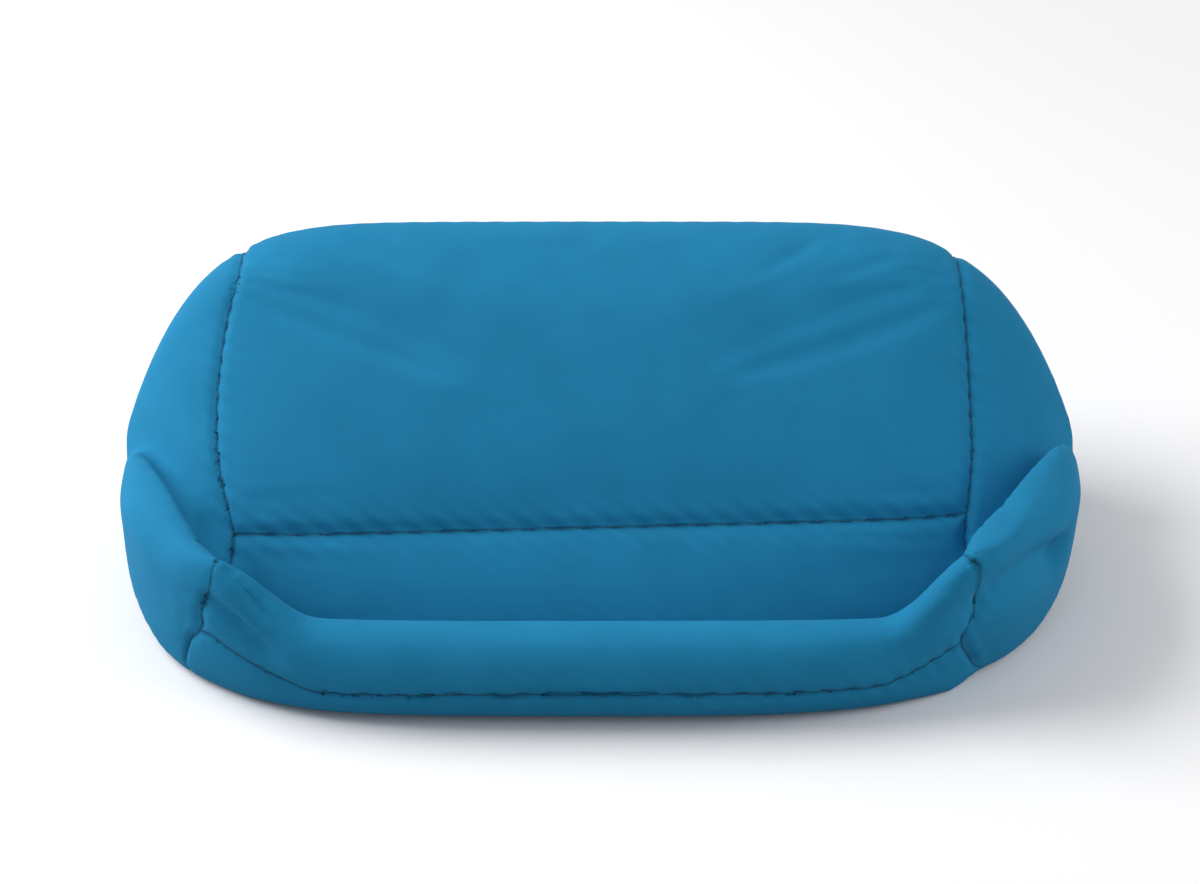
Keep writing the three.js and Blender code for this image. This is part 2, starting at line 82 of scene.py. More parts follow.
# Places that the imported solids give
END_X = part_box("right_side_panel")[1].x
SEAM_X = (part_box("backrest_panel")[1].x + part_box("right_side_panel")[0].x) / 2
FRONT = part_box("front_roll_panel")[0].y
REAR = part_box("rear_panel")[1].y
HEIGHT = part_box("backrest_panel")[1].z
SEAT_SEAM_Z = (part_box("backrest_panel")[0].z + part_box("seat_panel")[1].z) / 2
ZIP_Z = (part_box("zip_tape_upper")[0].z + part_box("zip_tape_lower")[1].z) / 2
ZIP_HALF_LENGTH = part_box("zip_tape_upper")[1].x
ZIP_HALF_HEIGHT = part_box("zip_tape_upper")[1].z - ZIP_Z
MIDDLE_Y = (FRONT + REAR) / 2

# Form of the stuffed cover, close to that of the solids
LOWER_END_X = 0.183
LIP_HEIGHT = 0.036
LIP_DEPTH = 0.033
ARM_RUN_OUT = 0.018
TROUGH_FLOOR = 0.005
TROUGH_FLOOR_WIDTH = 0.013
TROUGH_LENGTH = 0.246
LIP_LENGTH = 0.200
LIP_RUN_OUT = 0.034
CREASE_FLOOR = 0.030
ARM_SLOPE = 0.8
ARM_SLOPE_RUN = 0.020
CREASE_WIDTH = 0.004
CREASE_CLIMB = 0.2
CREASE_RISE_RUN = 0.012
EDGE_INSIDE_SEAM = 0.012
EDGE_LEAN = 0.002
EDGE_DROP = 0.002
PRESS_DEPTH = 0.006
PRESS_WIDTH = 0.012
REAR_FOOT_RADIUS = 0.0156
SEAT_SET_BACK = 0.002
RECLINE = np.radians(45)
CREST_RADIUS = 0.038
FACE_CROWN = 0.005
FOOT_HEIGHT = 0.014
FOOT_RADIUS = 0.006
CREST_SEAM_ANGLE = np.radians(38)
BACKREST_END_Y = MIDDLE_Y + 0.040
CORE_Y = MIDDLE_Y + 0.022
CORE_Z = 0.0285
FRONT_SQUARENESS = 4.4
REAR_SQUARENESS = 8
FOOT_SQUARENESS = 12
END_SQUARENESS = 3
TOP_SQUARENESS = 6

# Outlines that the slumped beads make a little different on the left and on the right
LOW_FRONT_SQUARENESS = (3.9, 3.0)
LOW_REAR_SQUARENESS = (6.0, 3.6)
BACKREST_SQUARENESS = (7.2, 6.6)
ARM_HEIGHT = (0.058, 0.064)
ARM_HEAD_START = (0, 0.008)
CREASE_HEAD_START = (0, 0.010)
CREASE_SLANT = (2, 1.5)
CREASE_RISE = (0.013, 0.003)

# Lines of the seams, on the left and on the right where they differ
SIDE_SEAM_BOW = (0.006, 0.001)
SIDE_SEAM_TUCK = 0.004
LIP_SEAM_FRONT = (0.004, -0.003)
LIP_SEAM_REAR = (-0.005, -0.012)
LIP_SEAM_SPREAD = (0.022, 0.005)
LIP_SEAM_SPREAD_TOP = (0.030, 0.010)
LIP_SEAM_WAIST = (0, 0.0065)
SEAT_SEAM_RAISE = 0.00125
SEAT_SEAM_TILT = 0.00275
FRONT_SEAM_Z = 0.0125
FRONT_SEAM_CROWN = 0.004
FRONT_SEAM_CLIMB = (0.0135, 0.017)

# Limits of the faces of the cover that the seams run across
FRONT_FACES_END = 0.02
REAR_HALF_START = 0.05
REAR_FACE_START = 0.08
UNDERSIDE_TOP = 0.0025
LOWEST_SEAT_SEAM = 0.02
HIGHEST_TROUGH_SEAM = 0.025
HIGHEST_ROLL = 0.08

# Places that follow from the form
CREST = (REAR - CREST_RADIUS, HEIGHT - CREST_RADIUS)
LIP_CENTRE_Y = FRONT + LIP_DEPTH / 2

# The photographed view: the image's size in pixels, and a camera that looks down by 30 degrees
IMAGE_WIDTH, IMAGE_HEIGHT = 1200, 884
CAMERA_PLACE = np.array((0.0, -0.9501, 0.6063))
CAMERA_PITCH = np.radians(30)
SENSOR = 0.036
LENS = 0.0876


def mix(a, b, t):
    """Value that runs straight from a to b as t goes from 0 to 1."""
    return a + (b - a) * t


def smooth(t):
    """S-curve from 0 to 1, level at both ends: 3 t squared minus 2 t cubed."""
    t = np.clip(t, 0, 1)
    return t * t * (3 - 2 * t)


def round_off(t, squareness):
    """Quarter of a superellipse: the root of 1 minus t to the power of squareness."""
    return np.sqrt(np.clip(1 - np.abs(t) ** squareness, 0, 1))


def face_y(z):
    """Y of the backrest's face plane at height z: the plane touches the round of the crest."""
    return CREST[0] - (CREST_RADIUS - (z - CREST[1]) * np.sin(RECLINE)) / np.cos(RECLINE)


TROUGH_REAR = face_y(TROUGH_FLOOR)
TROUGH_FRONT = TROUGH_REAR - TROUGH_FLOOR_WIDTH
TROUGH_SEAM_Y = mix(TROUGH_FRONT, TROUGH_REAR, 0.8)


def line(start, end, count):
    """Points from start towards end, both (y, z), without the last."""
    t = np.arange(count) / count
    return mix(start[0], end[0], t), mix(start[1], end[1], t)


def arc(centre, radii, from_degrees, to_degrees, count):
    """Points round an ellipse about centre from one angle towards another, without the last."""
    angle = np.radians(mix(from_degrees, to_degrees, np.arange(count) / count))
    return centre[0] + radii[0] * np.cos(angle), centre[1] + radii[1] * np.sin(angle)


def rings(curves, stations):
    """Closed rings of y and z, one row for each station, made of curves that follow each other."""
    def joined(axis):
        rows = [np.broadcast_to(c[axis], (stations, np.shape(c[axis])[-1])) for c in curves]
        return np.concatenate(rows, axis=1)

    return joined(0), joined(1)


def station_x(tip_x, count):
    """Stations across the stand, closer together towards the two tips, as a column."""
    return tip_x * np.sin(np.pi * (np.arange(1, count) / count - 0.5))[:, None]


def sided(pair, x):
    """The first value of a pair on the left of the stand and the second on the right."""
    return np.where(x < 0, pair[0], pair[1])


def arm_share(x, head_start=(0, 0)):
    """How far a section has turned from the trough, at 0, into an arm, at 1."""
    return smooth((np.abs(x) - TROUGH_LENGTH / 2 + sided(head_start, x)) / ARM_RUN_OUT)


def drawn_in_y(x, y, z=1.0):
    """Y drawn in towards the core as x nears the side by a superellipse: sooner at the nose than at the
    trough, and sooner at the underside than on top, but not in the trough."""
    behind_nose = np.clip((y - FRONT) / (TROUGH_FRONT - FRONT), 0, 1)
    upper = mix(FRONT_SQUARENESS, REAR_SQUARENESS, behind_nose)
    lower = mix(sided(LOW_FRONT_SQUARENESS, x), sided(LOW_REAR_SQUARENESS, x), behind_nose)
    low = (1 - behind_nose * (1 - arm_share(x))) * (1 - smooth(z / sided(ARM_HEIGHT, x)))
    return CORE_Y + (y - CORE_Y) * round_off(x / LOWER_END_X, mix(upper, lower, low))


def arm_height(x):
    """Height of the front roll across the stand, which rises from the lip to the arms."""
    return mix(LIP_HEIGHT, sided(ARM_HEIGHT, x), smooth((np.abs(x) - LIP_LENGTH / 2) / LIP_RUN_OUT))


def arm_drop(x, squareness):
    """Share of a height that is left as x goes from the side seam to the tip: a superellipse."""
    return round_off(np.clip((np.abs(x) - SEAM_X) / (LOWER_END_X - SEAM_X), 0, 1), squareness)


def crease_y(x):
    """Y of the front of the crease, which runs back outside the side seams, before it is drawn in."""
    beyond = np.maximum(np.abs(x) - SEAM_X + sided(CREASE_HEAD_START, x), 0)
    return TROUGH_FRONT + beyond * sided(CREASE_SLANT, x)


def arm_edges():
    """Points along the rear edges of the two arms, where they press on the backrest."""
    side = np.linspace(SEAM_X - EDGE_INSIDE_SEAM, LOWER_END_X, 40)
    x = np.concatenate((-side, side))
    top = mix(CORE_Z, arm_height(x) - EDGE_DROP, arm_drop(x, TOP_SQUARENESS))
    return np.stack((x, drawn_in_y(x, crease_y(x) - EDGE_LEAN), top), axis=1)


def lower_form(count):
    """Lower cushion: a section of base, rear, seat, trough and front roll at each station across, drawn in
    towards its core by superellipses. Past the trough's ends the roll widens into an arm, whose rear edge
    runs back along the crease under the backrest."""
    x = station_x(LOWER_END_X, count)
    reach = np.abs(x)
    arm = arm_share(x)
    wall = arm_share(x, ARM_HEAD_START)
    lip = arm_height(x) / 2
    beyond = np.maximum(reach - SEAM_X, 0)
    floor = mix(TROUGH_FLOOR, CREASE_FLOOR, arm) + beyond * CREASE_CLIMB
    floor = floor + sided(CREASE_RISE, x) * smooth(beyond / CREASE_RISE_RUN)
    floor_front = (crease_y(x), floor)
    floor_rear = (floor_front[0] + mix(TROUGH_FLOOR_WIDTH, CREASE_WIDTH, arm), floor)
    seat_y = np.maximum(face_y(SEAT_SEAM_Z) + SEAT_SET_BACK, floor_rear[0] + CREASE_WIDTH)
    seat_top = (seat_y, mix(SEAT_SEAM_Z, np.maximum(floor, SEAT_SEAM_Z), arm))
    edge = (floor_front[0] - EDGE_LEAN, 2 * lip - EDGE_DROP)
    top_y = mix(LIP_CENTRE_Y, edge[0], ARM_SLOPE * smooth(beyond / ARM_SLOPE_RUN))
    over = arc((top_y, lip), (top_y - FRONT, lip), mix(30, 85, wall), 180, 20)
    under = arc((LIP_CENTRE_Y, lip), (LIP_DEPTH / 2, lip), 180, 270, 16)
    wall_top = (over[0][:, :1], over[1][:, :1])
    wall_middle = tuple(mix(mix(f, w, 0.4), e, wall) for f, w, e in zip(floor_front, wall_top, edge))
    radius = REAR_FOOT_RADIUS
    y, z = rings(
        [
            line((LIP_CENTRE_Y, 0), (REAR - radius, 0), 40),
            arc((REAR - radius, radius), (radius, radius), -90, 0, 9),
            arc((REAR - radius, SEAT_SEAM_Z - radius), (radius, radius), 0, 90, 9),
            line((REAR - radius, SEAT_SEAM_Z), seat_top, 20),
            line(seat_top, floor_rear, 16),
            line(floor_rear, floor_front, 8),
            line(floor_front, wall_middle, 10),
            line(wall_middle, wall_top, 20),
            over,
            under,
        ],
        len(x),
    )
    kept = np.where(z > CORE_Z, arm_drop(x, TOP_SQUARENESS), arm_drop(x, END_SQUARENESS))
    y = drawn_in_y(x, y, z)
    tip = (LOWER_END_X, CORE_Y, CORE_Z)
    return closed_loft(np.broadcast_to(x, y.shape), y, mix(CORE_Z, z, kept), tip)


def backrest_form(count):
    """Backrest: one section of crowned face, round crest, rear and foot, drawn in towards a point low on
    each side by 1 minus a power of x. The arms' rear edges press a hollow into it, by a bell of the
    distance to the edge."""
    x = station_x(END_X, count)
    inward = np.array((np.cos(RECLINE), -np.sin(RECLINE)))
    foot = np.array((face_y(FOOT_HEIGHT), FOOT_HEIGHT))
    under_foot = foot + FOOT_RADIUS * inward
    face_top = np.array(CREST) - CREST_RADIUS * inward
    swell = (foot + face_top) / 2 - 2 * FACE_CROWN * inward
    t = (np.arange(40) / 40)[:, None]
    face = (1 - t) ** 2 * foot + 2 * t * (1 - t) * swell + t**2 * face_top
    bottom = under_foot[1] - FOOT_RADIUS
    rear_foot = (REAR - REAR_FOOT_RADIUS, bottom)
    y, z = rings(
        [
            face.T,
            arc(CREST, (CREST_RADIUS, CREST_RADIUS), 180 - np.degrees(RECLINE), 0, 30),
            line((REAR, CREST[1]), (REAR, SEAT_SEAM_Z), 12),
            line((REAR, SEAT_SEAM_Z), rear_foot, 8),
            line(rear_foot, (under_foot[0], bottom), 30),
            arc(under_foot, (FOOT_RADIUS, FOOT_RADIUS), 270, 180 - np.degrees(RECLINE), 6),
        ],
        len(x),
    )
    low = smooth((CREST[1] - z) / (CREST[1] - FOOT_HEIGHT)) * smooth((CREST[0] - y) / CREST_RADIUS)
    keep = 1 - np.abs(x / END_X) ** mix(sided(BACKREST_SQUARENESS, x), FOOT_SQUARENESS, low)
    y = mix(BACKREST_END_Y, y, keep)[:, ::-1]
    z = mix(SEAT_SEAM_Z, z, keep)[:, ::-1]
    tip = (END_X, BACKREST_END_Y, SEAT_SEAM_Z)
    points, faces = closed_loft(np.broadcast_to(x, y.shape), y, z, tip)
    away = points[:, None] - arm_edges()[None]
    gap = np.linalg.norm(away, axis=2)
    nearest = gap.argmin(axis=1)
    gap, away = gap.min(axis=1)[:, None], away[np.arange(len(points)), nearest]
    fade = 1 - np.abs(points[:, :1] / END_X) ** FOOT_SQUARENESS
    push = PRESS_DEPTH * fade * np.exp(-((gap / PRESS_WIDTH) ** 2))
    return points + push * away / np.maximum(gap, 1e-6), faces


def closed_loft(x, y, z, tip):
    """Points and triangles of a tube through the rings, closed by a fan to a tip at each end."""
    count, size = x.shape
    tips = np.array((tip, tip)) * ((-1, 1, 1), (1, 1, 1))
    points = np.concatenate((np.stack((x, y, z), axis=-1).reshape(-1, 3), tips))
    index = np.arange(count * size).reshape(count, size)
    turned = np.roll(index, -1, axis=1)
    a, b, c, d = index[:-1], turned[:-1], turned[1:], index[1:]
    walls = np.concatenate((np.stack((a, b, c), -1), np.stack((a, c, d), -1)), axis=1)
    first = np.full(size, count * size)
    fans = (np.stack((first, turned[0], index[0]), -1), np.stack((first + 1, index[-1], turned[-1]), -1))
    return points, np.concatenate((walls.reshape(-1, 3), *fans))


def new_object(name, points, faces):
    """A mesh object from whole arrays of points and of faces that all have as many corners."""
    mesh = bpy.data.meshes.new(name)
    corners = faces.shape[1]
    mesh.vertices.add(len(points))
    mesh.vertices.foreach_set("co", np.ravel(points).astype(np.float32))
    mesh.loops.add(faces.size)
    mesh.loops.foreach_set("vertex_index", np.ravel(faces).astype(np.int32))
    mesh.polygons.add(len(faces))
    mesh.polygons.foreach_set("loop_start", np.arange(0, faces.size, corners, dtype=np.int32))
    mesh.update(calc_edges=True)
    mesh.shade_smooth()
    obj = bpy.data.objects.new(name, mesh)
    bpy.context.scene.collection.objects.link(obj)
    return obj


def mesh_arrays(mesh):
    """Points and faces of a mesh: all quads, or else triangles."""
    points = np.empty(len(mesh.vertices) * 3, np.float32)
    mesh.vertices.foreach_get("co", points)
    totals = np.empty(len(mesh.polygons), np.int32)
    mesh.polygons.foreach_get("loop_total", totals)
    if np.all(totals == 4):
        faces = np.empty(len(mesh.loops), np.int32)
        mesh.loops.foreach_get("vertex_index", faces)
        faces = faces.reshape(-1, 4)
    else:
        mesh.calc_loop_triangles()
        faces = np.empty(len(mesh.loop_triangles) * 3, np.int32)
        mesh.loop_triangles.foreach_get("vertices", faces)
        faces = faces.reshape(-1, 3)
    return points.reshape(-1, 3).astype(float), faces


def evaluated(obj):
    """Points and faces of an object with its modifiers applied."""
    return mesh_arrays(obj.evaluated_get(bpy.context.evaluated_depsgraph_get()).to_mesh())


def remove(obj):
    """Deletes a helper object and its mesh."""
    mesh = obj.data
    bpy.data.objects.remove(obj)
    bpy.data.meshes.remove(mesh)


def modified(points, faces, kind, **values):
    """Points and faces after one of Blender's modifiers with the values given."""
    obj = new_object("modified_helper", points, faces)
    modifier = obj.modifiers.new("Helper", kind)
    for name, value in values.items():
        setattr(modifier, name, value)
    result = evaluated(obj)
    remove(obj)
    return result


def remeshed(points, faces, voxel):
    """One skin round all the closed shapes given, as even quads of about the voxel's size."""
    return modified(points, faces, "REMESH", mode="VOXEL", voxel_size=voxel)


def subdivided(points, faces):
    """The skin after one Catmull-Clark subdivision."""
    return modified(points, faces, "SUBSURF", levels=1, render_levels=1)


def edge_pairs(faces):
    """The edges of each face in turn, as pairs of point numbers with the lower one first."""
    pairs = np.stack((faces, np.roll(faces, -1, axis=1)), axis=-1).reshape(-1, 2)
    return np.sort(pairs, axis=1)


def relaxed(points, faces, rounds):
    """Taubin smoothing: each round moves points to the mean of their neighbours, then a little back."""
    edges = np.unique(edge_pairs(faces), axis=0)
    count = np.bincount(edges.ravel(), minlength=len(points))[:, None]
    for _ in range(rounds):
        for share in (0.5, -0.53):
            total = np.zeros_like(points)
            np.add.at(total, edges[:, 0], points[edges[:, 1]])
            np.add.at(total, edges[:, 1], points[edges[:, 0]])
            points = points + share * (total / count - points)
    return points


def normals_of(points, faces):
    """Unit normal at each point: the sum of the normals of the faces round it, weighted by area. A face's
    normal is the cross product of its third corner less its first and its last corner less its second."""
    corner_points = points[faces]
    diagonal = corner_points[:, 2] - corner_points[:, 0]
    flat = np.cross(diagonal, corner_points[:, -1] - corner_points[:, 1])
    total = np.zeros_like(points)
    for corner in range(faces.shape[1]):
        np.add.at(total, faces[:, corner], flat)
    return total / np.maximum(np.linalg.norm(total, axis=1, keepdims=True), 1e-12)


def inside_lip(x, z):
    """Y of a surface inside the front roll, between its front and the wall of the trough."""
    return drawn_in_y(x, mix(LIP_CENTRE_Y, TROUGH_FRONT, 0.6), z)


def zip_window(x, z):
    """Signed distance from the edge of the zip's window in the rear, below 0 inside it."""
    return np.maximum(np.abs(x) - ZIP_HALF_LENGTH, np.abs(z - ZIP_Z) - ZIP_HALF_HEIGHT)


# Columns of the seams' values
SIDE, SEAT, CREST_TOP, FRONT_EDGE, TROUGH, ZIP_LINE, WINDOW = range(7)


def seam_values(points):
    """Signed distances of points from the seams and from the zip's window, a column for each.

    The side seams bow a little on the backrest and slant on the ends of the front roll, as they are sewn."""
    x, y, z = points.T
    by_seam = np.clip(x, -SEAM_X, SEAM_X)
    lip_rear = drawn_in_y(by_seam, crease_y(by_seam))
    on_lip = smooth((lip_rear + 0.004 - y) / 0.008)
    on_face = smooth((CREST[0] - y) / 0.030) * (1 - on_lip)
    bow = np.sin(np.pi * np.clip((z - 0.036) / 0.070, 0, 1))
    tuck = smooth((0.062 - z) / 0.030)
    face = sided(SIDE_SEAM_BOW, x) * bow - SIDE_SEAM_TUCK * tuck
    inner = np.maximum(smooth((z - 0.032) / 0.020), smooth((y - lip_rear + 0.008) / 0.006))
    edge = smooth((y - lip_rear + 0.034) / 0.028) * inner
    waist = np.exp(-(((z - 0.025) / 0.011) ** 2))
    lip = mix(sided(LIP_SEAM_FRONT, x), sided(LIP_SEAM_REAR, x), edge)
    lip = lip + sided(LIP_SEAM_SPREAD, x) * smooth(1 - z / sided(LIP_SEAM_SPREAD_TOP, x))
    lip = lip - sided(LIP_SEAM_WAIST, x) * waist
    side = np.abs(x) - SEAM_X - lip * on_lip - face * on_face
    seat = z - SEAT_SEAM_Z - SEAT_SEAM_RAISE - SEAT_SEAM_TILT * x / SEAM_X
    crest = (y - CREST[0]) * np.cos(CREST_SEAM_ANGLE) - (z - CREST[1]) * np.sin(CREST_SEAM_ANGLE)
    climb = np.clip((np.abs(x) - LIP_LENGTH / 2) / (SEAM_X - LIP_LENGTH / 2), 0, 1) ** 1.3
    crown = np.clip(1 - (2 * x / LIP_LENGTH) ** 2, 0, 1)
    front = z - FRONT_SEAM_Z - FRONT_SEAM_CROWN * crown - sided(FRONT_SEAM_CLIMB, x) * climb
    trough = y - drawn_in_y(x, TROUGH_SEAM_Y + crease_y(x) - TROUGH_FRONT)
    return np.stack((side, seat, crest, front, trough, z - ZIP_Z, zip_window(x, z)), axis=1)


def seam_regions(points):
    """Whether points lie on the stretch of the cover that each seam runs across, a column for each."""
    x, y, z = points.T
    ahead = y < FRONT_FACES_END
    on_top = (z > UNDERSIDE_TOP) & (z < HIGHEST_TROUGH_SEAM) & (y > inside_lip(x, z))
    return np.stack(
        (
            np.full(len(points), True),
            ahead & (z > LOWEST_SEAT_SEAM) & (y > TROUGH_REAR - 0.005),
            z > CREST[1] - 0.01,
            y < inside_lip(x, z),
            ahead & on_top,
            y > REAR_HALF_START,
            y > REAR_FACE_START,
        ),
        axis=1,
    )


def split_along(points, values, triangles, column, level, chosen):
    """Cuts the chosen triangles where their values in a column cross a level. A crossed triangle has one
    corner alone on its side, and new points go on that corner's two edges."""
    field = values[:, column] - level
    above = (field >= 0)[triangles]
    count = above.sum(axis=1)
    crossed = chosen & (count % 3 > 0)
    alone = np.where(count == 1, above.argmax(axis=1), (~above).argmax(axis=1))[crossed]
    cut = triangles[crossed]
    row = np.arange(len(cut))
    a, b, c = (cut[row, (alone + turn) % 3] for turn in range(3))
    pairs = np.sort(np.concatenate((np.stack((a, b), 1), np.stack((a, c), 1))), axis=1)
    edges, place = np.unique(pairs, axis=0, return_inverse=True)
    place = place.reshape(-1) + len(points)
    start, end = field[edges[:, 0]], field[edges[:, 1]]
    t = np.clip(start / (start - end), 0.05, 0.95)[:, None]
    made = mix(points[edges[:, 0]], points[edges[:, 1]], t)
    made_values = mix(values[edges[:, 0]], values[edges[:, 1]], t)
    made_values[:, column] = level
    ab, ac = place[: len(cut)], place[len(cut) :]
    pieces = [np.stack(corners, 1) for corners in ((a, ab, ac), (ab, b, c), (ab, c, ac))]
    triangles = np.concatenate((triangles[~crossed], *pieces))
    return np.concatenate((points, made)), np.concatenate((values, made_values)), triangles


def cut_at_seams(points, triangles, beside):
    """Cuts the cover along its seams, and beside them so that the groove's walls follow the seam."""
    values = seam_values(points)
    for column in range(values.shape[1]):
        for level in (0, -beside, beside):
            centres = points[triangles].mean(axis=1)
            chosen = seam_regions(centres)[:, column]
            if column != SIDE:
                chosen &= values[triangles, SIDE].mean(axis=1) < 0
            points, values, triangles = split_along(points, values, triangles, column, level, chosen)
    return points, values, triangles


PANELS = (
    "left_side_panel",
    "right_side_panel",
    "base_panel",
    "front_roll_panel",
    "seat_panel",
    "rear_panel",
    "backrest_panel",
)


def panel_of(points, values, triangles):
    """Number of the panel that each triangle belongs to, in the order of PANELS, from its seams' sides."""
    x, y, z = points[triangles].mean(axis=1).T
    value = values[triangles].mean(axis=1)
    ahead = y < FRONT_FACES_END
    side = value[:, SIDE] > 0
    turned_up = (y < inside_lip(x, z)) & (value[:, FRONT_EDGE] < 0)
    under = np.where(ahead, (z < UNDERSIDE_TOP) | turned_up, value[:, ZIP_LINE] < 0)
    roll = ahead & (value[:, TROUGH] < 0) & (z < HIGHEST_ROLL)
    seat = ahead & (value[:, SEAT] < 0)
    rear = ~ahead & (value[:, CREST_TOP] > 0)
    owner = np.select([side & (x < 0), side, under, roll, seat, rear], range(6), 6)
    return without_specks(owner, triangles)


def without_specks(owner, triangles, rounds=6):
    """The owners after each triangle with two neighbours of another panel has gone over to it, in rounds."""
    edges = edge_pairs(triangles)
    order = np.lexsort(edges.T)
    same = np.flatnonzero(np.all(edges[order[1:]] == edges[order[:-1]], axis=1))
    one, other = order[same] // 3, order[same + 1] // 3
    for _ in range(rounds):
        votes = np.zeros((len(triangles), len(PANELS)), int)
        np.add.at(votes, (one, owner[other]), 1)
        np.add.at(votes, (other, owner[one]), 1)
        owner = np.where(votes.max(axis=1) > 1, votes.argmax(axis=1), owner)
    return owner


def pixel_rays(pixels):
    """Directions from the camera through pixels of the image."""
    forward = np.array((0, np.cos(CAMERA_PITCH), -np.sin(CAMERA_PITCH)))
    up = np.array((0, np.sin(CAMERA_PITCH), np.cos(CAMERA_PITCH)))
    focal = LENS / SENSOR * IMAGE_WIDTH
    across = (pixels[:, :1] - IMAGE_WIDTH / 2) * np.array((1.0, 0, 0))
    return focal * forward + across - (pixels[:, 1:] - IMAGE_HEIGHT / 2) * up


# Soft folds traced in pixels of the image: x, y and the depth there in millimetres, into the cover
FOLDS = {
    "left_lip_pull": {
        "width": 0.004,
        "trace": ((211, 607, 3), (234, 626, 4.5), (263, 651, 3), (283, 665, 0)),
    },
    "left_lip_tuck": {
        "width": 0.005,
        "trace": ((235, 572, 2.5), (259, 604, 4), (287, 653, 0)),
    },
    "right_arm_fold": {
        "width": 0.008,
        "trace": ((1062, 555, 7), (1035, 566, 5), (1000, 590, 4), (975, 612, 0)),
    },
}


def lengths_along(points):
    """Length along a line of points up to each of them."""
    return np.concatenate(([0], np.cumsum(np.linalg.norm(np.diff(points, axis=0), axis=1))))


def points_at(points, lengths, spread):
    """Points of a line at other lengths than its own, found by straight steps between its points."""
    return np.stack([np.interp(spread, lengths, column) for column in points.T], axis=1)


def fold_path(trace, tree, samples=60):
    """Points of the cover seen along a traced fold, evenly spread, and the fold's depth at each."""
    trace = np.array(trace, float)
    lengths = lengths_along(trace[:, :2])
    trace = points_at(trace, lengths, np.linspace(0, lengths[-1], samples))
    rays = pixel_rays(trace[:, :2])
    hits = [tree.ray_cast(Vector(CAMERA_PLACE), Vector(ray).normalized())[0] for ray in rays]
    met = [hit is not None for hit in hits]
    return np.array([hit for hit in hits if hit is not None]), trace[met, 2] / 1000


def folded(points, faces):
    """Presses the traced folds into the cover along its normals, by a bell of the distance to the line."""
    tree = BVHTree.FromPolygons(points.tolist(), faces.tolist())
    normals = normals_of(points, faces)
    move = np.zeros(len(points))
    for fold in FOLDS.values():
        path, depth = fold_path(fold["trace"], tree)
        reach = 3 * fold["width"]
        near = (points > path.min(axis=0) - reach) & (points < path.max(axis=0) + reach)
        close = np.flatnonzero(np.all(near, axis=1))
        gap = np.linalg.norm(points[close, None] - path[None], axis=2)
        bell = np.exp(-((gap / fold["width"]) ** 2))
        move[close] -= (depth * bell).max(axis=1)
    return points + move[:, None] * normals


def settled(points):
    """Flattens the cover where it rests on the table and round the zip."""
    x, y, z = points.T
    flat = np.where(y > REAR_FACE_START, smooth(1 - zip_window(x, z) / 0.012), 0)
    return np.stack((x, mix(y, REAR, flat), np.maximum(z, 0)), axis=1)


def seam_gaps(points, values):
    """Distance of each point from each seam that runs over its part of the cover, in columns."""
    past_side = np.maximum(values[:, SIDE : SIDE + 1], 0)
    gaps = np.hypot(values[:, SEAT:WINDOW], past_side)
    gaps = np.concatenate((np.abs(values[:, SIDE : SIDE + 1]), gaps), axis=1)
    return np.where(seam_regions(points)[:, :WINDOW], gaps, 1)


def grooved(points, values, triangles, depth, width):
    """Draws the cover in along its seams by a narrow and a broad bell of the distance to the nearest seam,
    with shallow puckers that fade within a few millimetres. Round the zip the cover stays flat, and on
    top of the arms and by the table nearly so."""
    x, y, z = points.T
    gap = seam_gaps(points, values).min(axis=1)
    flat = np.where(y > REAR_FACE_START, smooth(1 - values[:, WINDOW] / 0.01), 0)
    on_arm = smooth((z - 0.040) / 0.010) * smooth((-0.050 - y) / 0.010)
    on_foot = smooth((0.014 - z) / 0.010) * smooth(-y / 0.010)
    flat = np.maximum(flat, 0.8 * np.maximum(on_arm, on_foot))
    pucker = 0.2 * np.sin(np.pi * 2 * (x + y + z) / 0.011) * np.exp(-((gap / 0.007) ** 2))
    bells = np.exp(-((gap / width) ** 2)) + 0.6 * np.exp(-((gap / (5 * width)) ** 2)) + pucker
    inward = depth * bells * (1 - flat)
    moved = points - inward[:, None] * normals_of(points, triangles)
    moved[:, 2] = np.maximum(moved[:, 2], 0)
    return moved, gap


# Swelling of the cover: its cloth, what holds it still, and the stations of the two forms
CLOTH_FRAMES = 20
CLOTH_PRESSURE = 4
HELD_BY_SEAM = 0.003
HELD_BY_TABLE = 0.002
SLACK_FADE = 0.02
STATIONS = 150


def stuffed(points, faces, held, cap):
    """The skin after Blender's cloth has swollen it: pressure from inside with gravity off for some frames,
    held at some points, with no point moved by more than the cap."""
    scene = bpy.context.scene
    obj = new_object("cloth_helper", points, faces)
    obj.vertex_groups.new(name="held").add(np.flatnonzero(held).tolist(), 1, "REPLACE")
    cloth = obj.modifiers.new("Cloth", "CLOTH")
    cloth.settings.vertex_group_mass = "held"
    cloth.settings.use_pressure = True
    cloth.settings.uniform_pressure_force = CLOTH_PRESSURE
    cloth.settings.effector_weights.gravity = 0
    cloth.point_cache.frame_end = CLOTH_FRAMES
    for number in range(1, CLOTH_FRAMES + 1):
        scene.frame_set(number)
    move = evaluated(obj)[0] - points
    scene.frame_set(1)
    remove(obj)
    length = np.linalg.norm(move, axis=1, keepdims=True)
    return points + move * np.minimum(1, cap / np.maximum(length, 1e-9))


def together(shapes):
    """Points and faces of several shapes as one."""
    starts = np.cumsum([0] + [len(points) for points, _ in shapes])
    points = np.concatenate([points for points, _ in shapes])
    return points, np.concatenate([faces + start for (_, faces), start in zip(shapes, starts)])


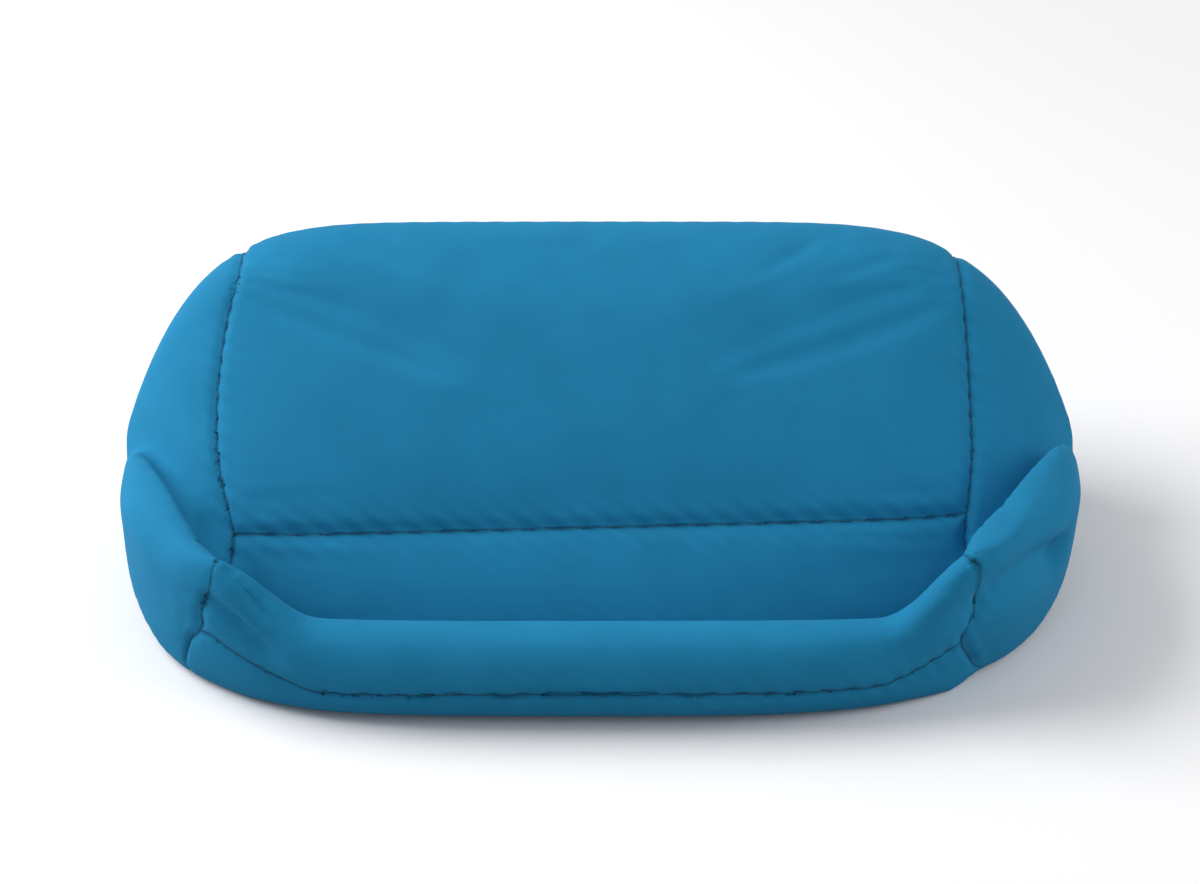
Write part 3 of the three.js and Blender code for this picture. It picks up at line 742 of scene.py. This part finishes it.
def make_cover(settings):
    """Points, seam values, triangles and distances to the nearest seam of the whole cover."""
    points, faces = together([lower_form(STATIONS), backrest_form(STATIONS)])
    points, faces = remeshed(points, faces, settings.voxel)
    points = relaxed(points, faces, 6)
    gap = seam_gaps(points, seam_values(points)).min(axis=1)
    held = (gap < HELD_BY_SEAM) | (points[:, 2] < HELD_BY_TABLE)
    slack = settings.slack * smooth(gap / SLACK_FADE) * (points[:, 2] > HELD_BY_TABLE)
    points = points - slack[:, None] * normals_of(points, faces)
    points = stuffed(points, faces, held, settings.cap)
    points, faces = subdivided(points, faces)
    points = settled(folded(points, faces))
    triangles = np.concatenate((faces[:, (0, 1, 2)], faces[:, (0, 2, 3)]))
    points, values, triangles = cut_at_seams(points, triangles, settings.seam_width / 2)
    points, gap = grooved(points, values, triangles, settings.seam_depth, settings.seam_width)
    return points, values, triangles, gap


class CoverProperties(bpy.types.PropertyGroup):
    """Sizes and colours of the sewn cover."""

    fabric: FloatVectorProperty(
        name="Fabric", description="Colour of the knit", subtype="COLOR", default=(0.013, 0.205, 0.395)
    )
    thread: FloatVectorProperty(
        name="Thread", description="Colour of the sewing thread", subtype="COLOR", default=(0.004, 0.06, 0.13)
    )
    voxel: FloatProperty(name="Voxel", description="Grain of the cover's mesh", unit="LENGTH", default=0.003)
    thickness: FloatProperty(name="Thickness", description="Of the fabric", unit="LENGTH", default=0.0012)
    slack: FloatProperty(name="Slack", description="Start of the swelling", unit="LENGTH", default=0.0003)
    cap: FloatProperty(name="Cap", description="Most that a point swells", unit="LENGTH", default=0.005)
    seam_depth: FloatProperty(name="Seam depth", description="Of the groove", unit="LENGTH", default=0.0013)
    seam_width: FloatProperty(name="Seam width", description="Of the groove", unit="LENGTH", default=0.0022)
    stitch_pitch: FloatProperty(name="Pitch", description="Of the stitches", unit="LENGTH", default=0.0028)
    stitch_length: FloatProperty(name="Stitch length", description="Of thread", unit="LENGTH", default=0.0020)
    thread_radius: FloatProperty(name="Radius", description="Of the thread", unit="LENGTH", default=0.00022)


class ZipProperties(bpy.types.PropertyGroup):
    """Colours of the zip and of the bags inside."""

    tape: FloatVectorProperty(
        name="Tape", description="Colour of the woven tape", subtype="COLOR", default=(0.011, 0.155, 0.33)
    )
    teeth: FloatVectorProperty(
        name="Teeth", description="Colour of the nylon teeth", subtype="COLOR", default=(0.01, 0.113, 0.243)
    )
    metal: FloatVectorProperty(
        name="Metal", description="Colour of the metal parts", subtype="COLOR", default=(0.55, 0.57, 0.58)
    )
    liner: FloatVectorProperty(
        name="Liner", description="Colour of the bead bags", subtype="COLOR", default=(0.8, 0.8, 0.77)
    )


class StageProperties(bpy.types.PropertyGroup):
    """Light and floor."""

    floor: FloatVectorProperty(
        name="Floor", description="Colour of the table", subtype="COLOR", default=(0.94, 0.94, 0.95)
    )
    sky: FloatProperty(name="Sky", description="Strength of the light from all round", default=0.38)
    key: FloatProperty(name="Key", description="Power of the lamp on the left", unit="POWER", default=29)
    fill: FloatProperty(name="Fill", description="Power of the lamp on the right", unit="POWER", default=7)


def set_values(node, values):
    """Sets properties of a node by name, or else its sockets, whose names have a space for each _."""
    for name, value in values.items():
        if hasattr(node, name):
            setattr(node, name, value)
        else:
            node.inputs[name.replace("_", " ")].default_value = value


def add(tree, kind, links=(), **values):
    """Adds a node, sets its values and links the sockets given as (name, output)."""
    node = tree.nodes.new("ShaderNode" + kind)
    set_values(node, values)
    for name, output in links:
        tree.links.new(output, node.inputs[name])
    return node


def sine_of(tree, output, pitch):
    """Output of a sine wave of the given pitch in metres."""
    scaled = add(tree, "Math", [(0, output)], operation="MULTIPLY")
    scaled.inputs[1].default_value = 2 * np.pi / pitch
    return add(tree, "Math", [(0, scaled.outputs[0])], operation="SINE").outputs[0]


def weave_group(name, pitch):
    """Shader group of a fine cloth: Height is the product of two waves across the surface and Shade a
    cloudy value near 1, both read from Object coordinates."""
    group = bpy.data.node_groups.new(name, "ShaderNodeTree")
    group.interface.new_socket("Height", in_out="OUTPUT", socket_type="NodeSocketFloat")
    group.interface.new_socket("Shade", in_out="OUTPUT", socket_type="NodeSocketFloat")
    place = add(group, "TexCoord").outputs["Object"]
    split = add(group, "SeparateXYZ", [("Vector", place)])
    rise = add(group, "Math", [(0, split.outputs["Y"]), (1, split.outputs["Z"])], operation="ADD")
    across = sine_of(group, split.outputs["X"], pitch)
    along = sine_of(group, rise.outputs[0], pitch)
    height = add(group, "Math", [(0, across), (1, along)], operation="MULTIPLY")
    cloud = add(group, "TexNoise", [("Vector", place)], Scale=45, Detail=4)
    span = {"From_Min": 0.3, "From_Max": 0.7, "To_Min": 0.94, "To_Max": 1.05}
    shade = add(group, "MapRange", [("Value", cloud.outputs["Fac"])], **span)
    output = group.nodes.new("NodeGroupOutput")
    group.links.new(height.outputs[0], output.inputs["Height"])
    group.links.new(shade.outputs[0], output.inputs["Shade"])
    return group


def new_material(name):
    """A material, its node tree and its Principled shader."""
    material = bpy.data.materials.new(name)
    material.use_nodes = True
    return material, material.node_tree, material.node_tree.nodes["Principled BSDF"]


def cloth_material(name, colour, pitch, sheen, painted_seam_shade=False):
    """Matte cloth: a weave's bump, a cloudy shade, soft sheen and, on the cover, painted shade in a darker
    line along the seams.
    """
    material, tree, shader = new_material(name)
    weave = add(tree, "Group", node_tree=weave_group(name + "_weave", pitch))
    shade = weave.outputs["Shade"]
    if painted_seam_shade:
        # Painted shade: within about a millimetre of a seam the knit's colour is darkened to 0.6, where the
        # groove lies in shade.
        gap = add(tree, "Attribute", attribute_name="seam_gap").outputs["Fac"]
        span = {"From_Min": 0, "From_Max": 0.0011, "To_Min": 0.6, "To_Max": 1}
        dark = add(tree, "MapRange", [("Value", gap)], interpolation_type="SMOOTHSTEP", **span)
        shade = add(tree, "Math", [(0, shade), (1, dark.outputs[0])], operation="MULTIPLY").outputs[0]
    tint = add(tree, "VectorMath", [(1, shade)], operation="MULTIPLY")
    tint.inputs[0].default_value = colour
    bump = add(tree, "Bump", [("Height", weave.outputs["Height"])], Strength=0.25, Distance=0.0002)
    tree.links.new(tint.outputs[0], shader.inputs["Base Color"])
    tree.links.new(bump.outputs[0], shader.inputs["Normal"])
    set_values(shader, {"Roughness": 0.85, "Specular IOR Level": 0.1, "Sheen Weight": sheen})
    set_values(shader, {"Sheen Roughness": 0.4, "Sheen Tint": (0.2, 0.75, 1, 1)})
    return material


def hard_material(name, colour, metallic, roughness):
    """Nylon or metal with a roughness that varies a little."""
    material, tree, shader = new_material(name)
    place = add(tree, "TexCoord").outputs["Object"]
    wear = add(tree, "TexNoise", [("Vector", place)], Scale=900, Detail=3)
    span = {"To_Min": roughness - 0.08, "To_Max": roughness + 0.08}
    rough = add(tree, "MapRange", [("Value", wear.outputs["Fac"])], **span)
    tree.links.new(rough.outputs[0], shader.inputs["Roughness"])
    set_values(shader, {"Base Color": (*colour, 1), "Metallic": metallic})
    return material


def solid_arrays(name):
    """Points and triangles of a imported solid, with the points that lie within a micrometre made one."""
    points, triangles = mesh_arrays(bpy.data.objects[name].data)
    _, first, place = np.unique(np.round(points, 6), axis=0, return_index=True, return_inverse=True)
    return points[first], place.reshape(-1)[triangles]


BAGS = ["front_bead_bag", "base_bead_bag", "backrest_bead_bag"]


class STAND_OT_cover(bpy.types.Operator):
    """Stuffs and sews the seven panels of the cover"""

    bl_idname = "stand.cover"
    bl_label = "Cover"

    def execute(self, context):
        settings = context.scene.stand_cover
        points, values, triangles, gap = make_cover(settings)
        shown = values[triangles, WINDOW].mean(axis=1) > 0
        shown |= points[triangles].mean(axis=1)[:, 1] < REAR_FACE_START
        owner = panel_of(points, values, triangles)
        material = cloth_material("stretch_knit", settings.fabric, 0.0007, 0.06, painted_seam_shade=True)
        for number, name in enumerate(PANELS):
            used, corners = np.unique(triangles[shown & (owner == number)], return_inverse=True)
            panel = new_object("sewn_" + name, points[used], corners.reshape(-1, 3))
            # seam_gap holds each point's distance to the nearest seam; the knit's material reads it to paint
            # shade along the seams.
            panel.data.attributes.new("seam_gap", "FLOAT", "POINT").data.foreach_set("value", gap[used])
            panel.data.materials.append(material)
            solidify = panel.modifiers.new("Fabric", "SOLIDIFY")
            solidify.thickness = settings.thickness
            solidify.offset = -1
            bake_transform(panel)
            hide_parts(name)
        return {"FINISHED"}


def eased(line_points, step=0.0007, rounds=40):
    """A line of points spread evenly, with its small jogs smoothed out and its ends left where they are."""
    lengths = lengths_along(line_points)
    even = points_at(line_points, lengths, np.linspace(0, lengths[-1], max(int(lengths[-1] / step), 3)))
    for _ in range(rounds):
        even[1:-1] = (even[:-2] + 2 * even[1:-1] + even[2:]) / 4
    return even


def seam_lines(obj):
    """Lines of points along the open edges of a panel, each in order."""
    points, triangles = mesh_arrays(obj.data)
    edges, uses = np.unique(edge_pairs(triangles), axis=0, return_counts=True)
    beside = {}
    for a, b in edges[uses == 1].tolist():
        beside.setdefault(a, []).append(b)
        beside.setdefault(b, []).append(a)
    lines = []
    while beside:
        here = next(iter(beside))
        walk = [here]
        while here in beside:
            onward = [other for other in beside.pop(here) if other in beside]
            here = onward[0] if onward else None
            if here is not None:
                walk.append(here)
        lines.append(eased(points[walk]))
    return lines


# Shortest line that is sewn, lowest stitch, how close lines of one seam run, and distance from the zip
SHORTEST_SEAM = 0.06
LOWEST_STITCH = 0.0013
SAME_SEAM = 0.0015
ZIP_STITCH_AWAY = 0.002

# Cross-sections of a stitch along its length, both as shares: places of half its length, and radii
STITCH_PLACES = np.array((-1, -0.92, -0.7, 0.7, 0.92, 1))
STITCH_GIRTHS = np.array((0.15, 0.7, 1, 1, 0.7, 0.15))
STITCH_SIDES = 8

# A direction that no seam follows, to turn the stitches by
ASIDE = (0.3, 0.5, 0.81)


def stitches(lines, sewn, pitch, length, radius):
    """Points and quads of short round stitches, spread evenly along lines of points. Where a line runs along
    another that is sewn already, it gets no stitches."""
    centres, ahead = [], []
    for line_points in lines:
        lengths = lengths_along(line_points)
        if lengths[-1] < SHORTEST_SEAM:
            continue
        spread = np.arange(pitch / 2, lengths[-1] - pitch / 2, pitch)
        place = points_at(line_points, lengths, spread)
        onward = points_at(line_points, lengths, spread + pitch / 4)
        free = place[:, 2] > LOWEST_STITCH
        for other in sewn:
            free &= np.linalg.norm(place[:, None] - other[None], axis=2).min(axis=1) > SAME_SEAM
        centres.append(place[free])
        ahead.append((onward - place)[free])
    centre = np.concatenate(centres)
    along = np.concatenate(ahead)
    along /= np.linalg.norm(along, axis=1, keepdims=True)
    across = np.cross(along, ASIDE)
    across /= np.linalg.norm(across, axis=1, keepdims=True)
    up = np.cross(along, across)
    turn = 2 * np.pi * np.arange(STITCH_SIDES) / STITCH_SIDES
    ring = np.cos(turn)[:, None] * across[:, None, None] + np.sin(turn)[:, None] * up[:, None, None]
    shape = centre[:, None, None] + along[:, None, None] * (STITCH_PLACES * length / 2)[:, None, None]
    points = shape + ring * (STITCH_GIRTHS * radius)[:, None, None]
    size = (len(centre), len(STITCH_PLACES), STITCH_SIDES)
    index = np.arange(np.prod(size)).reshape(size)
    turned = np.roll(index, -1, axis=2)
    quads = np.stack((index[:, :-1], turned[:, :-1], turned[:, 1:], index[:, 1:]), axis=-1)
    caps = np.stack((index[:, 0, ::-1], index[:, -1]), axis=1)
    caps = np.stack((caps[..., :4], caps[..., (0, 3, 4, 5)], caps[..., (0, 5, 6, 7)]), axis=-2)
    return points.reshape(-1, 3), np.concatenate((quads.reshape(-1, 4), caps.reshape(-1, 4)))


class STAND_OT_stitching(bpy.types.Operator):
    """Lays the stitches along the seams and beside the zip"""

    bl_idname = "stand.stitching"
    bl_label = "Stitching"

    def execute(self, context):
        settings = context.scene.stand_cover
        by_name = {name: seam_lines(bpy.data.objects["sewn_" + name]) for name in PANELS}
        away = ZIP_HALF_HEIGHT + ZIP_STITCH_AWAY
        flanks = [
            np.linspace((-ZIP_HALF_LENGTH, REAR, height), (ZIP_HALF_LENGTH, REAR, height), 60)
            for height in (ZIP_Z - away, ZIP_Z + away)
        ]
        groups = {
            "left_seam_thread": by_name["left_side_panel"],
            "right_seam_thread": by_name["right_side_panel"],
            "front_seam_thread": by_name["front_roll_panel"],
            "back_seam_thread": by_name["backrest_panel"],
            "zip_thread": flanks,
        }
        material = hard_material("sewing_thread", settings.thread, 0, 0.7)
        sizes = (settings.stitch_pitch, settings.stitch_length, settings.thread_radius)
        sewn = []
        for name, lines in groups.items():
            points, quads = stitches(lines, sewn, *sizes)
            sewn.extend(lines)
            thread = new_object(name, points, quads)
            thread.data.materials.append(material)
            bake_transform(thread)
        return {"FINISHED"}


# Grain of a bag's mesh, and how far it is drawn in from its solid and kept inside the cover
BAG_VOXEL = 0.005
BAG_INSET = 0.003
BAG_CLEARANCE = 0.006


class STAND_OT_bags(bpy.types.Operator):
    """Fills the cover with its three bags of beads"""

    bl_idname = "stand.bags"
    bl_label = "Bead bags"

    def execute(self, context):
        panels = [bpy.data.objects["sewn_" + name] for name in PANELS]
        cover = new_object("cover_helper", *together([mesh_arrays(panel.data) for panel in panels]))
        inside = {
            "target": cover,
            "wrap_method": "NEAREST_SURFACEPOINT",
            "wrap_mode": "INSIDE",
            "offset": BAG_CLEARANCE,
        }
        material = cloth_material("bag_liner", context.scene.stand_zip.liner, 0.0009, 0)
        for name in BAGS:
            points, faces = remeshed(*solid_arrays(name), BAG_VOXEL)
            points = relaxed(points - BAG_INSET * normals_of(points, faces), faces, 6)
            points, faces = modified(points, faces, "SHRINKWRAP", **inside)
            bag = new_object("filled_" + name, relaxed(points, faces, 12), faces)
            bag.data.materials.append(material)
            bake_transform(bag)
            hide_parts(name)
        remove(cover)
        return {"FINISHED"}


class STAND_OT_zip(bpy.types.Operator):
    """Finishes the zip: woven tapes, rounded teeth, slider, pull and stops"""

    bl_idname = "stand.zip"
    bl_label = "Zip"

    def execute(self, context):
        settings = context.scene.stand_zip
        tape = cloth_material("zip_weave", settings.tape, 0.0006, 0.05)
        nylon = hard_material("zip_nylon", settings.teeth, 0, 0.4)
        metal = hard_material("zip_plating", settings.metal, 1, 0.3)
        pieces = (
            ("zip_tape_upper", "base", tape, "zip_tape", 0.0002),
            ("zip_tape_lower", "base", tape, "zip_tape", 0.0002),
            ("zip_teeth_upper", "base", nylon, "zip_teeth", 0.0002),
            ("zip_teeth_lower", "base", nylon, "zip_teeth", 0.0002),
            ("zip_closed_stop", "base", metal, "zip_metal", 0.0002),
            ("zip_open_stop", "base", metal, "zip_metal", 0.0002),
            ("zip_slider", "zip_slider", metal, "zip_metal", 0.0003),
            ("zip_pull", "zip_pull", metal, "zip_metal", 0.0002),
        )
        for name, body, material, slot, edge in pieces:
            piece = new_object("finished_" + name, *solid_arrays(name))
            piece.data.shade_flat()
            bevel = piece.modifiers.new("Edges", "BEVEL")
            bevel.width = edge
            bevel.segments = 3
            bevel.limit_method = "ANGLE"
            bevel.harden_normals = True
            piece.data.materials.append(material)
            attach(piece, body)
            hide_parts(name)
        return {"FINISHED"}


def backdrop_rays(tree):
    """Output that is 1 for the rays that show the backdrop, straight or in metal, and 0 for its light."""
    path = add(tree, "LightPath").outputs
    seen = path["Is Camera Ray"]
    for kind in ("Is Glossy Ray", "Is Transmission Ray"):
        seen = add(tree, "Math", [(0, seen), (1, path[kind])], operation="MAXIMUM").outputs[0]
    return seen


def table_material(colour):
    """White table: darker for its bounced light, with a far part that fades into the white backdrop."""
    material, tree, shader = new_material("white_table")
    seen = backdrop_rays(tree)
    bounce = (0.5, 0.5, 0.51, 1)
    tint = add(tree, "Mix", [("Factor", seen)], data_type="RGBA", A=bounce, B=(*colour, 1))
    set_values(shader, {"Roughness": 0.9})
    tree.links.new(tint.outputs["Result"], shader.inputs["Base Color"])
    place = add(tree, "TexCoord").outputs["Object"]
    reach = add(tree, "VectorMath", [(0, place)], operation="LENGTH").outputs["Value"]
    span = {"From_Min": 0.5, "From_Max": 1.1}
    far = add(tree, "MapRange", [("Value", reach)], interpolation_type="SMOOTHSTEP", **span)
    share = add(tree, "Math", [(0, far.outputs["Result"]), (1, seen)], operation="MULTIPLY")
    glow = add(tree, "Emission", Color=(1, 1, 1, 1), Strength=1)
    both = add(tree, "MixShader", [(0, share.outputs[0]), (1, shader.outputs[0]), (2, glow.outputs[0])])
    tree.links.new(both.outputs[0], tree.nodes["Material Output"].inputs["Surface"])
    return material


def studio_world(sky):
    """World that is white where it is seen and gives off a dimmer light."""
    world = bpy.data.worlds.new("studio")
    world.use_nodes = True
    tree = world.node_tree
    strength = add(tree, "Mix", [("Factor", backdrop_rays(tree))], A=sky, B=1)
    background = tree.nodes["Background"]
    set_values(background, {"Color": (1, 1, 1, 1)})
    tree.links.new(strength.outputs["Result"], background.inputs["Strength"])
    return world


def placed(name, data, place, turn):
    """Adds a lamp or a camera to the scene at a place, turned by Euler angles."""
    holder = bpy.data.objects.new(name, data)
    holder.location = place
    holder.rotation_euler = turn
    bpy.context.scene.collection.objects.link(holder)
    return holder


TABLE_HALF_WIDTH = 3.0


class STAND_OT_stage(bpy.types.Operator):
    """Sets the table, the soft lamps and the camera"""

    bl_idname = "stand.stage"
    bl_label = "Stage"

    def execute(self, context):
        settings = context.scene.stand_stage
        corners = TABLE_HALF_WIDTH * np.array(((-1, -1, 0), (1, -1, 0), (1, 1, 0), (-1, 1, 0)))
        floor = new_object("table", corners, np.array(((0, 1, 2, 3),)))
        floor.data.materials.append(table_material(settings.floor))
        lamps = (
            ("key_lamp", (-1.2, 0.3, 1), 1.2, settings.key),
            ("fill_lamp", (1.2, -0.3, 0.7), 1.0, settings.fill),
        )
        for name, place, size, power in lamps:
            lamp = bpy.data.lights.new(name, "AREA")
            lamp.energy = power
            lamp.size = size
            placed(name, lamp, place, (-Vector(place)).to_track_quat("-Z", "Y").to_euler())
        context.scene.world = studio_world(settings.sky)
        camera = bpy.data.cameras.new("camera")
        camera.sensor_fit = "HORIZONTAL"
        camera.sensor_width = SENSOR * 1000
        camera.lens = LENS * 1000
        turn = (np.pi / 2 - CAMERA_PITCH, 0, 0)
        context.scene.camera = placed("camera", camera, CAMERA_PLACE, turn)
        context.scene.view_settings.view_transform = "Standard"
        return {"FINISHED"}


class STAND_PT_panel(bpy.types.Panel):
    """Lists the steps that dress the stand"""

    bl_label = "Tablet Stand"
    bl_idname = "STAND_PT_panel"
    bl_space_type = "VIEW_3D"
    bl_region_type = "UI"
    bl_category = "Tablet Stand"

    def draw(self, context):
        for operator in OPERATORS:
            self.layout.operator(operator.bl_idname)
        for name in SETTINGS:
            group = getattr(context.scene, name)
            for key in group.bl_rna.properties.keys():
                if key not in ("rna_type", "name"):
                    self.layout.prop(group, key)


OPERATORS = (STAND_OT_cover, STAND_OT_stitching, STAND_OT_bags, STAND_OT_zip, STAND_OT_stage)
SETTINGS = {"stand_cover": CoverProperties, "stand_zip": ZipProperties, "stand_stage": StageProperties}
CLASSES = (*SETTINGS.values(), *OPERATORS, STAND_PT_panel)


def register():
    """Registers the classes and their settings."""
    for cls in CLASSES:
        bpy.utils.register_class(cls)
    for name, group in SETTINGS.items():
        setattr(bpy.types.Scene, name, PointerProperty(type=group))


def unregister():
    """Removes the settings and the classes."""
    for name in SETTINGS:
        delattr(bpy.types.Scene, name)
    for cls in reversed(CLASSES):
        bpy.utils.unregister_class(cls)


def main():
    """Registers the add-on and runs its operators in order."""
    register()
    bpy.ops.stand.cover()
    bpy.ops.stand.stitching()
    bpy.ops.stand.bags()
    bpy.ops.stand.zip()
    bpy.ops.stand.stage()


if __name__ == "__main__":
    main()
